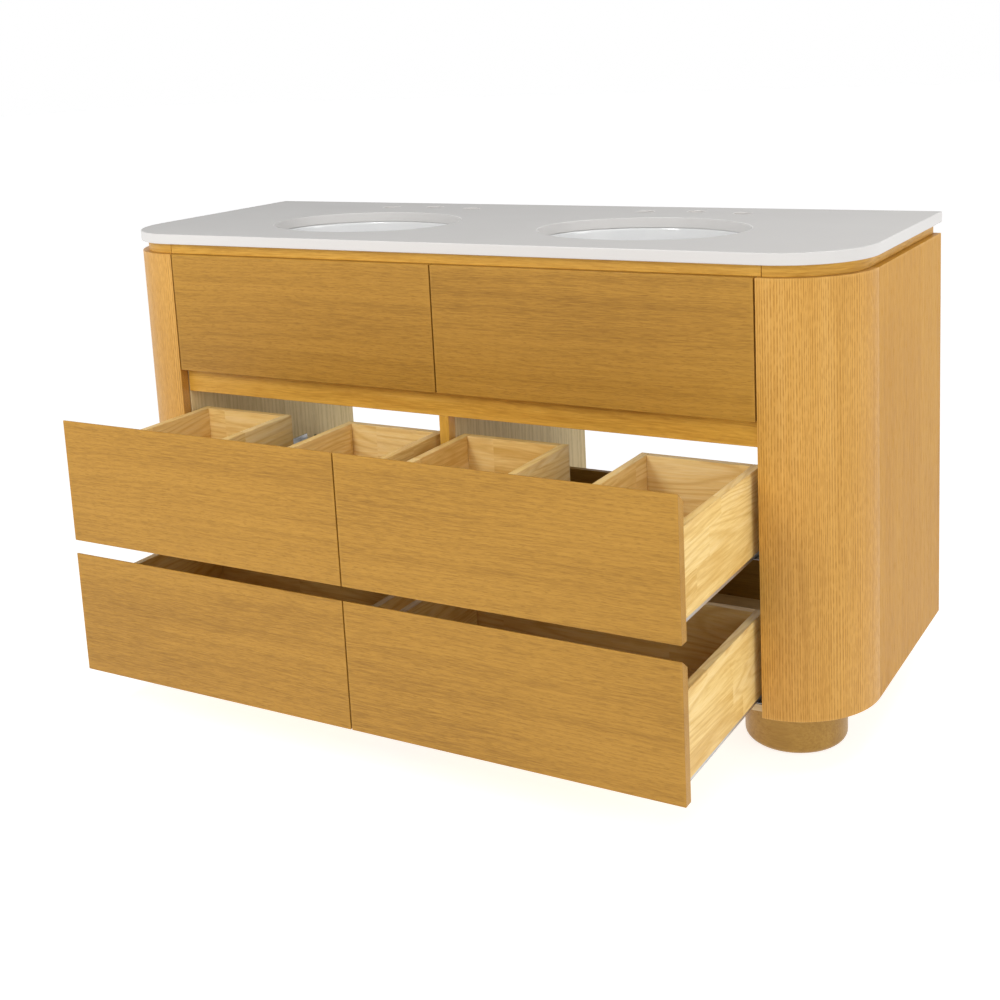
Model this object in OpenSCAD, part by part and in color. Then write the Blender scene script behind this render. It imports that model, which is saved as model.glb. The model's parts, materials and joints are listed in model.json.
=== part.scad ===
// Double-sink bathroom vanity cabinet with rounded front corners, four handle-less drawers and a stone top.
// X runs to the right, Y towards the wall and Z up. The origin is on the floor, at the centre of the feet.
// The drawers are drawn part-way open; negative travel closes them.

/* [Overall] */
// Width over the countertop
top_w = 1524; // [1460:1:1600]
// Depth over the countertop
top_d = 559; // [545:1:620]
// Height from the floor to the top of the countertop
total_h = 864; // [850:1:900]
// Thickness of the stone countertop
top_t = 20; // [12:1:30]
// Radius of the countertop's front corners
corner_r = 150; // [146:1:155]
// How far the countertop stands past the cabinet at the front and the sides
overhang = 2; // [1:0.5:4]

/* [Carcass] */
// Height of the shadow gap under the countertop
neck_h = 20; // [12:1:30]
// How far the shadow gap is set back
neck_inset = 12; // [8:1:16]
// Thickness of the outer panels
panel_t = 20; // [16:1:22]
// Thickness of the inner side walls
liner_t = 18; // [15:1:18]
// Thickness of the centre partition
partition_t = 20; // [18:1:22]
// Thickness of the bottom deck
deck_t = 12; // [9:1:13]
// Height of the rail under the false fronts
rail_h = 60; // [50:1:70]

/* [Feet] */
// Height of a foot
foot_h = 90; // [80:1:100]
// Radius of a foot
foot_r = 88; // [70:1:90]
// Radius of the levelling-glide socket under a foot
socket_r = 11; // [9:0.5:14]

/* [Fronts] */
// Height of a drawer front
front_h = 226; // [220:1:228]
// Thickness of the fronts
front_t = 20; // [18:1:20]
// Height of the finger gap above each drawer
finger_gap = 25; // [22:1:26]
// Depth of the slope on the back of a drawer front's top edge
finger_bevel = 14; // [6:1:16]
// Gap between neighbouring fronts
front_gap = 2.5; // [2:0.5:4]

/* [Drawers] */
// How far the drawers are drawn open
open_travel = 310; // [200:5:330]
// Depth of a drawer box
box_d = 345; // [335:1:350]
// Height of a drawer box
box_h = 141; // [130:1:145]
// Thickness of the box boards
board_t = 15; // [12:1:16]
// Thickness of the box bottoms
base_t = 6; // [5:1:9]
// Clearance between a box and the wall beside it
side_gap = 11; // [9:0.5:13]
// Width of the plumbing gap in an upper drawer
gap_w = 140; // [110:1:170]
// Depth of the plumbing gap in an upper drawer
gap_d = 230; // [180:1:250]

/* [Sinks] */
// Distance of each sink's centre from the middle of the top
sink_x = 303; // [295:1:315]
// Distance of the sinks' centres from the front of the cabinet
sink_from_front = 243; // [235:1:250]
// Width of the oval cut-out in the top
sink_w = 400; // [380:1:410]
// Depth of the oval cut-out in the top
sink_d = 306; // [290:1:315]
// Depth of a bowl below the top's underside
bowl_h = 150; // [130:1:165]
// Radius of the drain hole
drain_r = 22.5; // [20:0.5:24]
// Spacing of the faucet holes
faucet_pitch = 101.6; // [98:0.1:104]
// Radius of the faucet holes
faucet_r = 17.5; // [15:0.5:19]
// Distance of the outer faucet holes from the back edge
faucet_back = 80; // [75:1:85]
// How much further back the spout hole is than the outer two
spout_back = 16; // [10:1:20]

/* [Hidden] */
$fn = 64;

// colours
front_oak = "#c4924a";
side_oak = "#cd9f5f";
solid_oak = "#b98a45";
foot_oak = "#a97b3a";
box_wood = "#ebc882";
pale_liner = "#d9c49a";
dark_back = "#7d5a28";
quartz = "#d4d2cf";
white_glaze = "#f4f4f2";
zinc = "#b9bcc0";
black_plastic = "#202020";

// outer box of the carcass
body_w = top_w - 2 * overhang;
front_y = -top_d / 2 + overhang;
back_y = top_d / 2;
side_x = body_w / 2;
outer_r = corner_r - overhang;
arc_x = side_x - outer_r;
arc_y = front_y + outer_r;

// heights
top_z = total_h - top_t;
neck_z = top_z - neck_h;
deck_z = foot_h + deck_t;
upper_z = foot_h + front_h + finger_gap;
false_z = upper_z + front_h + finger_gap;
rail_z = false_z - 47;

// fronts and the bays behind them
panel_gap = 1.5;
front_w = arc_x - 9 - front_gap / 2;
bay_x0 = partition_t / 2;
bay_x1 = front_w + front_gap / 2;
inner_y = front_y + front_t;
edge_d = 22;
liner_y0 = inner_y + 2;
liner_y1 = back_y - 7;
partition_y1 = back_y - 9;
back_panel_y = front_y + 447;
back_panel_t = 12;
back_panel_h = 226;
neck_w = 40;

// the rail that is screwed to the wall
rear_rail_h = 100;
rear_rail_t = 18;
rear_rail_y = back_y - rear_rail_t;
wall_hole_x = 400;
wall_hole_r = 3.5;

// drawer boxes, placed at the closed position and then drawn open
box_x0 = bay_x0 + side_gap;
box_x1 = bay_x1 - side_gap;
drawer_front_t = front_t - 1;
box_y0 = front_y + drawer_front_t;
box_rise = 24;
upper_box_z = upper_z + box_rise;
lower_box_z = foot_h + box_rise;
base_rise = 12;
gap_x = (box_x0 + box_x1) / 2;
slide_l = 350;
slide_h = box_rise - deck_t;
slide_y0 = liner_y0 + 2;
middle_l = 310;
middle_closed_y = slide_y0 + 6;
runner_l = 335;
sheet = 1.4;

// feet stand under the centres of the rounded corners
foot_x = arc_x;
foot_y = -arc_y;
foot_round = 12;
bolt_r = 4;
bolt_free = 0.3;
bolt_head_z = 30;
bolt_head_h = 5.5;
bolt_head_room = 8.5;
socket_h = 26;
bolt_top_z = foot_h + 60;

// sinks
sink_y = front_y + sink_from_front;
sink_rim = 18;
sink_t = 10;
drain_t = 12;
faucet_y = back_y - faucet_back;

// one board between two corners
module board(low, high) {
    translate(low) cube(high - low);
}

// draws its children on the left or the right half
module on_side(side) {
    if (side > 0) children();
    else mirror([1, 0, 0]) children();
}

// a plan outline that is square at the back and has round front corners, inset from the carcass
module plan(inset) {
    r = outer_r - inset;
    w = arc_x;
    union() {
        translate([-w, front_y + inset]) square([2 * w, back_y - front_y - inset]);
        translate([-side_x + inset, arc_y]) square([2 * (side_x - inset), back_y - arc_y]);
        for (s = [-1, 1]) translate([s * w, arc_y]) circle(r = r);
    }
}

// an oval by its full width and depth
module oval(w, d) {
    scale([w / d, 1]) circle(d = d, $fn = 96);
}

module countertop() {
    color(quartz) difference() {
        translate([0, 0, top_z]) linear_extrude(top_t) plan(-overhang);
        for (s = [-1, 1]) {
            translate([s * sink_x, sink_y, top_z - 1]) linear_extrude(top_t + 2) oval(sink_w, sink_d);
            for (i = [-1, 0, 1])
                translate([s * sink_x + i * faucet_pitch, faucet_y + (i == 0 ? spout_back : 0), top_z - 1])
                    cylinder(r = faucet_r, h = top_t + 2);
        }
    }
}

// half of the bowl's section: x is a share of the half depth, y the depth below the rim
function bowl_section(half, h, flat) = [
    for (a = [0:9:90]) [flat + (half - flat) * pow(cos(a), 0.55), -h * pow(sin(a), 1.15)]
];

module bowl_solid(half, h, flat) {
    rotate_extrude($fn = 72) polygon(concat([[0, 0]], bowl_section(half, h, flat), [[0, -h]]));
}

module sink() {
    half = sink_d / 2;
    color(white_glaze) difference() {
        translate([0, 0, top_z]) scale([sink_w / sink_d, 1, 1]) union() {
            translate([0, 0, -sink_t]) cylinder(r = half + sink_rim, h = sink_t, $fn = 72);
            bowl_solid(half + sink_t, bowl_h + drain_t, 40);
        }
        translate([0, 0, top_z + 0.01]) scale([sink_w / sink_d, 1, 1])
            bowl_solid(half, bowl_h + 0.01, 34);
        translate([0, 0, top_z - bowl_h - drain_t - 1]) cylinder(r = drain_r, h = drain_t + 2);
        // overflow hole in the front wall
        translate([0, -half + 4, top_z - 38]) rotate([90, 0, 0]) cylinder(r = 6, h = 7);
    }
}
module sink_left() { translate([-sink_x, sink_y, 0]) sink(); }
module sink_right() { translate([sink_x, sink_y, 0]) sink(); }

// a bent clip that holds a sink's rim up against the top
module sink_clip() {
    w = 14;
    t = 2.5;
    translate([2, -w / 2, -t]) cube([24, w, t]);
    translate([2, -w / 2, -sink_t - t]) cube([t, w, sink_t + t]);
    translate([-12, -w / 2, -sink_t - t]) cube([14 + t, w, t]);
    translate([16, 0, -t - 4]) cylinder(r = 4.5, h = 4);
}
module sink_clips() {
    color(zinc) for (s = [-1, 1], a = [35, 145, 215, 325])
        translate([
            s * sink_x + (sink_w / 2 + sink_rim * sink_w / sink_d) * cos(a),
            sink_y + (sink_d / 2 + sink_rim) * sin(a), top_z
        ]) rotate([0, 0, atan2(sin(a) * sink_w, cos(a) * sink_d)]) sink_clip();
}

// the set-back frame between the fronts and the countertop
module neck_front() {
    color(solid_oak) board(
        [-arc_x, front_y + neck_inset, neck_z], [arc_x, front_y + neck_inset + neck_w, top_z]);
}
module neck_corner() {
    r = outer_r - neck_inset;
    color(solid_oak) translate([arc_x, arc_y, neck_z]) intersection() {
        difference() {
            cylinder(r = r, h = neck_h);
            translate([0, 0, -1]) cylinder(r = r - neck_w, h = neck_h + 2);
        }
        translate([0, -outer_r, 0]) cube([outer_r, outer_r, neck_h]);
    }
}
module neck_side() {
    color(solid_oak) board(
        [side_x - neck_inset - neck_w, arc_y, neck_z], [side_x - neck_inset, back_y - 8, top_z]);
}
module neck_corner_left() { on_side(-1) neck_corner(); }
module neck_corner_right() { on_side(1) neck_corner(); }
module neck_side_left() { on_side(-1) neck_side(); }
module neck_side_right() { on_side(1) neck_side(); }

// the bent panel round a front corner, with a short flat at the front
module corner_panel() {
    x0 = bay_x1 + panel_gap;
    color(side_oak) translate([0, 0, foot_h]) linear_extrude(neck_z - foot_h) union() {
        translate([x0, front_y]) square([arc_x - x0, panel_t]);
        translate([arc_x, arc_y]) intersection() {
            difference() {
                circle(r = outer_r);
                circle(r = outer_r - panel_t);
            }
            translate([0, -outer_r]) square(outer_r);
        }
    }
}
module corner_panel_left() { on_side(-1) corner_panel(); }
module corner_panel_right() { on_side(1) corner_panel(); }

module side_panel() {
    color(side_oak) board([side_x - panel_t, arc_y, foot_h], [side_x, back_y, neck_z]);
}
module side_panel_left() { on_side(-1) side_panel(); }
module side_panel_right() { on_side(1) side_panel(); }

// the inner side wall, drilled from below for the two foot bolts
module liner() {
    color(pale_liner) difference() {
        board([bay_x1, liner_y0, deck_z], [bay_x1 + liner_t, liner_y1, neck_z]);
        for (s = [-1, 1]) translate([foot_x, s * foot_y, deck_z - 1])
            cylinder(r = bolt_r + bolt_free, h = bolt_top_z - deck_z + 2);
    }
}
module liner_left() { on_side(-1) liner(); }
module liner_right() { on_side(1) liner(); }

module centre_partition() {
    color(pale_liner) board(
        [-partition_t / 2, inner_y + edge_d, deck_z], [partition_t / 2, partition_y1, neck_z]);
}
module partition_edge() {
    color(solid_oak) board(
        [-partition_t / 2, inner_y, deck_z], [partition_t / 2, inner_y + edge_d, rail_z]);
}

module false_front() {
    color(front_oak) board([front_gap / 2, front_y, false_z], [front_w, front_y + front_t, neck_z]);
}
module false_front_left() { on_side(-1) false_front(); }
module false_front_right() { on_side(1) false_front(); }

module mid_rail() {
    color(solid_oak) board([-bay_x1, inner_y, rail_z], [bay_x1, inner_y + edge_d, rail_z + rail_h]);
}

module bottom_deck() {
    color(pale_liner) difference() {
        translate([0, 0, foot_h]) linear_extrude(deck_t) intersection() {
            plan(panel_t);
            translate([-side_x, liner_y0]) square([2 * side_x, liner_y1 - liner_y0]);
        }
        for (x = [-1, 1], y = [-1, 1]) translate([x * foot_x, y * foot_y, foot_h - 1])
            cylinder(r = bolt_r + bolt_free, h = deck_t + 2);
    }
}

module back_panel() {
    color(dark_back) board([bay_x0, back_panel_y, deck_z],
        [bay_x1, back_panel_y + back_panel_t, deck_z + back_panel_h]);
}
module back_panel_left() { on_side(-1) back_panel(); }
module back_panel_right() { on_side(1) back_panel(); }

// the rail that is screwed to the wall
module rear_top_rail() {
    y0 = rear_rail_y;
    color(pale_liner) difference() {
        board([-side_x + panel_t, y0, neck_z - rear_rail_h], [side_x - panel_t, back_y, top_z]);
        // the partition, the liners and the neck stop in notches in the rail
        board([-partition_t / 2, y0 - 1, 0], [partition_t / 2, partition_y1, neck_z]);
        for (s = [-1, 1]) on_side(s) {
            board([bay_x1, y0 - 1, 0], [bay_x1 + liner_t, liner_y1, neck_z]);
            board([side_x - neck_inset - neck_w, y0 - 1, neck_z], [side_x, back_y - 8, total_h]);
        }
        for (s = [-1, 1]) translate([s * wall_hole_x, y0 - 1, neck_z - rear_rail_h / 2])
            rotate([-90, 0, 0]) cylinder(r = wall_hole_r, h = rear_rail_t + 2);
    }
}

// a drum foot with a rounded lower edge and a stepped hole for its bolt
module foot() {
    r = foot_round;
    color(foot_oak) difference() {
        rotate_extrude() union() {
            square([foot_r - r, foot_h]);
            translate([0, r]) square([foot_r, foot_h - r]);
            translate([foot_r - r, r]) circle(r = r);
        }
        translate([0, 0, -1]) cylinder(r = socket_r, h = socket_h + 1);
        cylinder(r = bolt_head_room, h = bolt_head_z + bolt_head_h);
        cylinder(r = bolt_r + bolt_free, h = foot_h + 1);
    }
}
module foot_front_left() { translate([-foot_x, -foot_y, 0]) foot(); }
module foot_front_right() { translate([foot_x, -foot_y, 0]) foot(); }
module foot_rear_left() { translate([-foot_x, foot_y, 0]) foot(); }
module foot_rear_right() { translate([foot_x, foot_y, 0]) foot(); }

module foot_bolts() {
    color(zinc) for (x = [-1, 1], y = [-1, 1]) translate([x * foot_x, y * foot_y, bolt_head_z]) {
        cylinder(r = 7.5, h = bolt_head_h, $fn = 6);
        cylinder(r = bolt_r, h = bolt_top_z - bolt_head_z);
    }
}

// Drawer slides run under the boxes. Each helper draws the one beside the outer wall of the right-hand bay,
// and pair() adds its mirror image beside the partition.
module pair() {
    children();
    translate([bay_x0 + bay_x1, 0, 0]) mirror([1, 0, 0]) children();
}

// the fixed member, an angle on the wall with a shelf under the runner
module slide_rail(z) {
    color(zinc) translate([bay_x1, slide_y0, z - slide_h]) {
        translate([-44, 0, 0]) cube([44, slide_l, sheet]);
        translate([-sheet, 0, 0]) cube([sheet, slide_l, slide_h - 1.5]);
    }
}
module slide_rails() {
    for (side = [-1, 1], z = [foot_h, upper_z]) on_side(side) pair() slide_rail(z + box_rise);
}

// the plastic catch at the back of each fixed member
module slide_hook(z) {
    color(black_plastic) translate([bay_x1 - 34, slide_y0 + slide_l - 14, z - slide_h + sheet]) {
        cube([10, 14, 1.6]);
        translate([0, 11, 0]) cube([10, 3, 9]);
    }
}
module slide_hooks() {
    for (side = [-1, 1], z = [foot_h, upper_z]) on_side(side) pair() slide_hook(z + box_rise);
}

// the middle member, which travels half as far as the drawer
module slide_middle(side, z) {
    color(zinc) on_side(side) translate([0, -open_travel / 2, 0]) pair()
        translate([bay_x1 - 38, middle_closed_y, z - slide_h + sheet + 1.8]) {
            cube([22, middle_l, sheet]);
            cube([sheet, middle_l, 5]);
            translate([22 - sheet, 0, 0]) cube([sheet, middle_l, 5]);
        }
}

// the member under the box, a shallow hat section over the middle one
module runners(side, z) {
    color(zinc) on_side(side) translate([0, -open_travel, 0]) pair()
        translate([bay_x1 - 42, box_y0 + 4, z - sheet]) {
            cube([30, runner_l, sheet]);
            translate([0, 0, -4]) cube([sheet, runner_l, 4 + sheet]);
            translate([30 - sheet, 0, -4]) cube([sheet, runner_l, 4 + sheet]);
        }
}

// the drawer's own front, with its top edge sloping down to the back as a finger pull
module drawer_front(side, z) {
    color(front_oak) on_side(side) translate([front_w, front_y - open_travel, z])
        rotate([0, -90, 0]) linear_extrude(front_w - front_gap / 2) polygon([
                [0, 0], [front_h, 0], [front_h, 2],
                [front_h - finger_bevel, drawer_front_t], [0, drawer_front_t]
            ]);
}

// the two outer boards that run from front to back
module box_sides(side, z) {
    color(box_wood) on_side(side) translate([0, -open_travel, 0]) for (x = [box_x0, box_x1 - board_t])
        board([x, box_y0, z], [x + board_t, box_y0 + box_d, z + box_h]);
}

// the bottom board, which sits in the sides; an upper one is cut out for the plumbing
module box_base(side, z, split) {
    z0 = z + base_rise;
    color(box_wood) on_side(side) translate([0, -open_travel, 0]) difference() {
        board([box_x0 + board_t, box_y0 + board_t, z0],
            [box_x1 - board_t, box_y0 + box_d - board_t, z0 + base_t]);
        if (split) board([gap_x - gap_w / 2 - board_t, box_y0 + box_d - gap_d - board_t, z0 - 1],
            [gap_x + gap_w / 2 + board_t, box_y0 + box_d, z0 + base_t + 1]);
    }
}

// the boards that run across: the box front, and one back or two short backs and the gap's end
module cross_boards(side, z, split) {
    y1 = box_y0 + box_d;
    xa = box_x0 + board_t;
    xb = box_x1 - board_t;
    g0 = gap_x - gap_w / 2;
    g1 = gap_x + gap_w / 2;
    color(box_wood) on_side(side) translate([0, -open_travel, 0]) {
        board([xa, box_y0, z], [xb, box_y0 + board_t, z + box_h]);
        if (split) {
            board([xa, y1 - board_t, z], [g0 - board_t, y1, z + box_h]);
            board([g1 + board_t, y1 - board_t, z], [xb, y1, z + box_h]);
            board([g0, y1 - gap_d - board_t, z], [g1, y1 - gap_d, z + box_h]);
        } else {
            board([xa, y1 - board_t, z], [xb, y1, z + box_h]);
        }
    }
}

// the two boards beside the plumbing gap
module gap_sides(side, z) {
    y1 = box_y0 + box_d;
    color(box_wood) on_side(side) translate([0, -open_travel, 0])
        for (x = [gap_x - gap_w / 2 - board_t, gap_x + gap_w / 2])
            board([x, y1 - gap_d - board_t, z], [x + board_t, y1, z + box_h]);
}

module upper_left_front() { drawer_front(-1, upper_z); }
module upper_right_front() { drawer_front(1, upper_z); }
module lower_left_front() { drawer_front(-1, foot_h); }
module lower_right_front() { drawer_front(1, foot_h); }
module upper_left_sides() { box_sides(-1, upper_box_z); }
module upper_right_sides() { box_sides(1, upper_box_z); }
module lower_left_sides() { box_sides(-1, lower_box_z); }
module lower_right_sides() { box_sides(1, lower_box_z); }
module upper_left_gap_sides() { gap_sides(-1, upper_box_z); }
module upper_right_gap_sides() { gap_sides(1, upper_box_z); }
module upper_left_cross_boards() { cross_boards(-1, upper_box_z, true); }
module upper_right_cross_boards() { cross_boards(1, upper_box_z, true); }
module lower_left_cross_boards() { cross_boards(-1, lower_box_z, false); }
module lower_right_cross_boards() { cross_boards(1, lower_box_z, false); }
module upper_left_base() { box_base(-1, upper_box_z, true); }
module upper_right_base() { box_base(1, upper_box_z, true); }
module lower_left_base() { box_base(-1, lower_box_z, false); }
module lower_right_base() { box_base(1, lower_box_z, false); }
module upper_left_runners() { runners(-1, upper_box_z); }
module upper_right_runners() { runners(1, upper_box_z); }
module lower_left_runners() { runners(-1, lower_box_z); }
module lower_right_runners() { runners(1, lower_box_z); }
module upper_left_slide_middle() { slide_middle(-1, upper_box_z); }
module upper_right_slide_middle() { slide_middle(1, upper_box_z); }
module lower_left_slide_middle() { slide_middle(-1, lower_box_z); }
module lower_right_slide_middle() { slide_middle(1, lower_box_z); }

countertop();
sink_left();
sink_right();
sink_clips();
neck_front();
neck_corner_left();
neck_corner_right();
neck_side_left();
neck_side_right();
corner_panel_left();
corner_panel_right();
side_panel_left();
side_panel_right();
liner_left();
liner_right();
centre_partition();
partition_edge();
false_front_left();
false_front_right();
mid_rail();
bottom_deck();
back_panel_left();
back_panel_right();
rear_top_rail();
foot_front_left();
foot_front_right();
foot_rear_left();
foot_rear_right();
foot_bolts();
slide_rails();
slide_hooks();
upper_left_front();
upper_left_sides();
upper_left_gap_sides();
upper_left_cross_boards();
upper_left_base();
upper_left_runners();
upper_left_slide_middle();
upper_right_front();
upper_right_sides();
upper_right_gap_sides();
upper_right_cross_boards();
upper_right_base();
upper_right_runners();
upper_right_slide_middle();
lower_left_front();
lower_left_sides();
lower_left_cross_boards();
lower_left_base();
lower_left_runners();
lower_left_slide_middle();
lower_right_front();
lower_right_sides();
lower_right_cross_boards();
lower_right_base();
lower_right_runners();
lower_right_slide_middle();
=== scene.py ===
import json
import math

import bmesh
import bpy
import numpy as np
from mathutils import Matrix, Vector
from mathutils.geometry import delaunay_2d_cdt

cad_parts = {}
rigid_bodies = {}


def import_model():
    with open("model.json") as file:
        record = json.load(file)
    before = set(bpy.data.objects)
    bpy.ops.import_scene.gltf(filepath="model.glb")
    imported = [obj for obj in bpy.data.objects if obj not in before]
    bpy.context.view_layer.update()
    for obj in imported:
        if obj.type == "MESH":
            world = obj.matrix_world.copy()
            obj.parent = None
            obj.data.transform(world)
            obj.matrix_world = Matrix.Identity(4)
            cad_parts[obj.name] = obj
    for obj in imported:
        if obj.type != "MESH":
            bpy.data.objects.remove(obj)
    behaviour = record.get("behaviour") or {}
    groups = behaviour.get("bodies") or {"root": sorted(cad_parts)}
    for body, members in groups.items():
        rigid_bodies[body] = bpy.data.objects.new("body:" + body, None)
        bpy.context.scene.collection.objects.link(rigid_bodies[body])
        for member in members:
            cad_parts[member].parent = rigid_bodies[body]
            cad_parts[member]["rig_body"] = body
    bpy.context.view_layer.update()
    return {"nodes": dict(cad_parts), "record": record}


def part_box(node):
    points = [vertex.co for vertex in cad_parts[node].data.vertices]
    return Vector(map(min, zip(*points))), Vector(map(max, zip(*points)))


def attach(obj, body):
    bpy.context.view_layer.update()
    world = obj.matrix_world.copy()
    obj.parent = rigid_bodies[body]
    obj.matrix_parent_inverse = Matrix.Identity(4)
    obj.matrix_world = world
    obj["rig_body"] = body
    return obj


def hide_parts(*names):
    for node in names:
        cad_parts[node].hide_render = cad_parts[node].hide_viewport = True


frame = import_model()
record = frame["record"]
slotOf = {part["node"]: part["material_slot"] for part in record["subparts"]}
chance = np.random.default_rng(11)  # gives each board its own stretch of grain
mm = 0.001

print("frame loaded:", len(frame["nodes"]), "nodes")


class Wire:
    # a socket of a node tree; sums and products of wires add the Math nodes that work them out

    def __init__(self, tree, socket=None):
        self.tree = tree
        self.socket = socket

    def node(self, kind, settings=None, feeds=None, output=0):
        # adds one node: settings first, then each socket of feeds gets its value or its link
        made = self.tree.nodes.new("ShaderNode" + kind)
        for name, value in (settings or {}).items():
            if name == "stops":
                layStops(made.color_ramp, value)
            else:
                setattr(made, name, value)
        for name, value in (feeds or {}).items():
            if isinstance(value, Wire):
                self.tree.links.new(value.socket, made.inputs[name])
            else:
                made.inputs[name].default_value = value
        return Wire(self.tree, made.outputs[output] if made.outputs else None)

    def maths(self, operation, *values):
        return self.node("Math", {"operation": operation}, dict(enumerate(values)))

    def __add__(self, other):
        return self.maths("ADD", self, other)

    def __sub__(self, other):
        return self.maths("SUBTRACT", self, other)

    def __rsub__(self, other):
        return self.maths("SUBTRACT", other, self)

    def __mul__(self, other):
        return self.maths("MULTIPLY", self, other)

    def __truediv__(self, other):
        return self.maths("DIVIDE", self, other)

    def __pow__(self, other):
        return self.maths("POWER", self, other)

    __radd__ = __add__
    __rmul__ = __mul__


def layStops(ramp, stops):
    while len(ramp.elements) < len(stops):
        ramp.elements.new(0.5)
    for element, (place, colour) in zip(ramp.elements, stops):
        element.position = place
        element.color = (*colour, 1.0)


def stretched(at, along, across, depth):
    # the same place counted in cells: so many to the metre along, across and into the grain
    return at.node("VectorMath", {"operation": "MULTIPLY"}, {0: at, 1: (along, across, depth)})


def moved(at, by):
    # the same place shifted by a vector
    return at.node("VectorMath", {"operation": "ADD"}, {0: at, 1: by})


def cloud(at, detail=2.0, rough=0.5):
    # smooth noise with cells one unit across
    feeds = {"Vector": at, "Scale": 1.0, "Detail": detail, "Roughness": rough}
    return at.node("TexNoise", {"normalize": True}, feeds)


def ease(value, low, high):
    # 0 below low, 1 above high, smooth between
    settings = {"interpolation_type": "SMOOTHSTEP"}
    return value.node("MapRange", settings, {"Value": value, "From Min": low, "From Max": high})


def tint(factor, first, second, blend="MIX"):
    # mixes two colours; either may be a wire or a plain colour
    anyWire = next(part for part in (factor, first, second) if isinstance(part, Wire))
    first, second = (part if isinstance(part, Wire) else (*part, 1.0) for part in (first, second))
    settings = {"data_type": "RGBA", "blend_type": blend}
    return anyWire.node("Mix", settings, {0: factor, 6: first, 7: second}, output=2)


def newFinish(name):
    # an empty material, a wire to build on, and a function that joins the results to its shader
    made = bpy.data.materials.new(name)
    made.use_nodes = True
    made.node_tree.nodes.clear()
    start = Wire(made.node_tree)

    def close(colour, roughness, height, bump, plain=None):
        # bump is a strength and a distance in metres; plain holds the sockets that are the same all over
        strength, distance = bump
        normal = start.node("Bump", {}, {"Height": height, "Strength": strength, "Distance": distance})
        feeds = {"Base Color": colour, "Roughness": roughness, "Normal": normal, **(plain or {})}
        shader = start.node("BsdfPrincipled", {}, feeds)
        start.node("OutputMaterial", {}, {"Surface": shader})
        return made

    return start, close


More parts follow.
